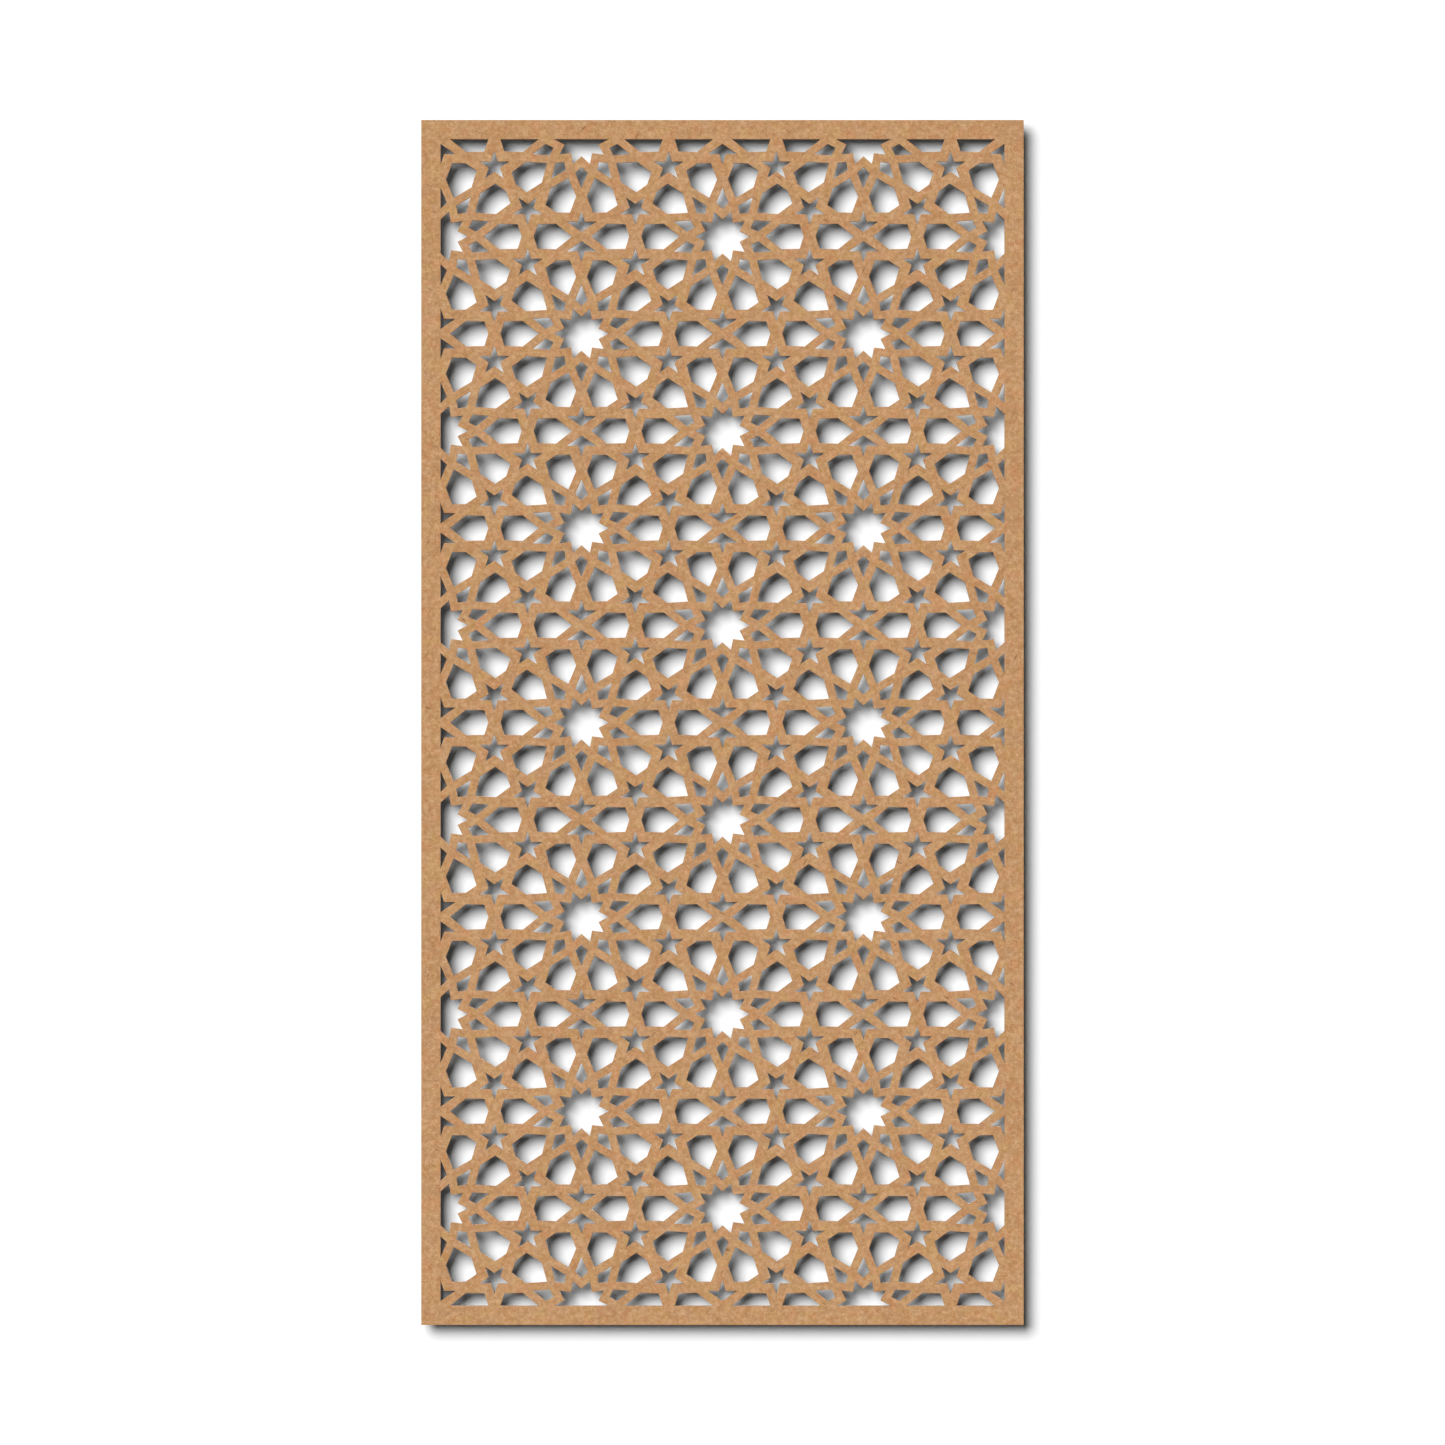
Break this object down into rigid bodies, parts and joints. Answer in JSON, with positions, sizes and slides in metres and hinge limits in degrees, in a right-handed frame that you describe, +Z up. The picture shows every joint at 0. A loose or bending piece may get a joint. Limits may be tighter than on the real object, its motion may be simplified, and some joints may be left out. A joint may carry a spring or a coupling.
{
  "type": "mashrabiya screen",
  "caption": "Thin upright board cut through with a star-and-petal lattice inside a plain border, fixed over a window or set in a frame for shade, air and privacy.",
  "frame": {"origin": "middle of the board's flat back face, where it is fixed", "axes": "+Z up along the board's height, +X along its width, +Y out of the back face, so the front faces -Y"},
  "size_m": [0.6, 0.006, 1.2],
  "materials": {
    "mdf_board": "bare fine fibreboard, matt, with darker laser-cut edges"
  },
  "bodies": {
    "root": {"screen_panel": "mdf_board"}
  },
  "joints": []
}
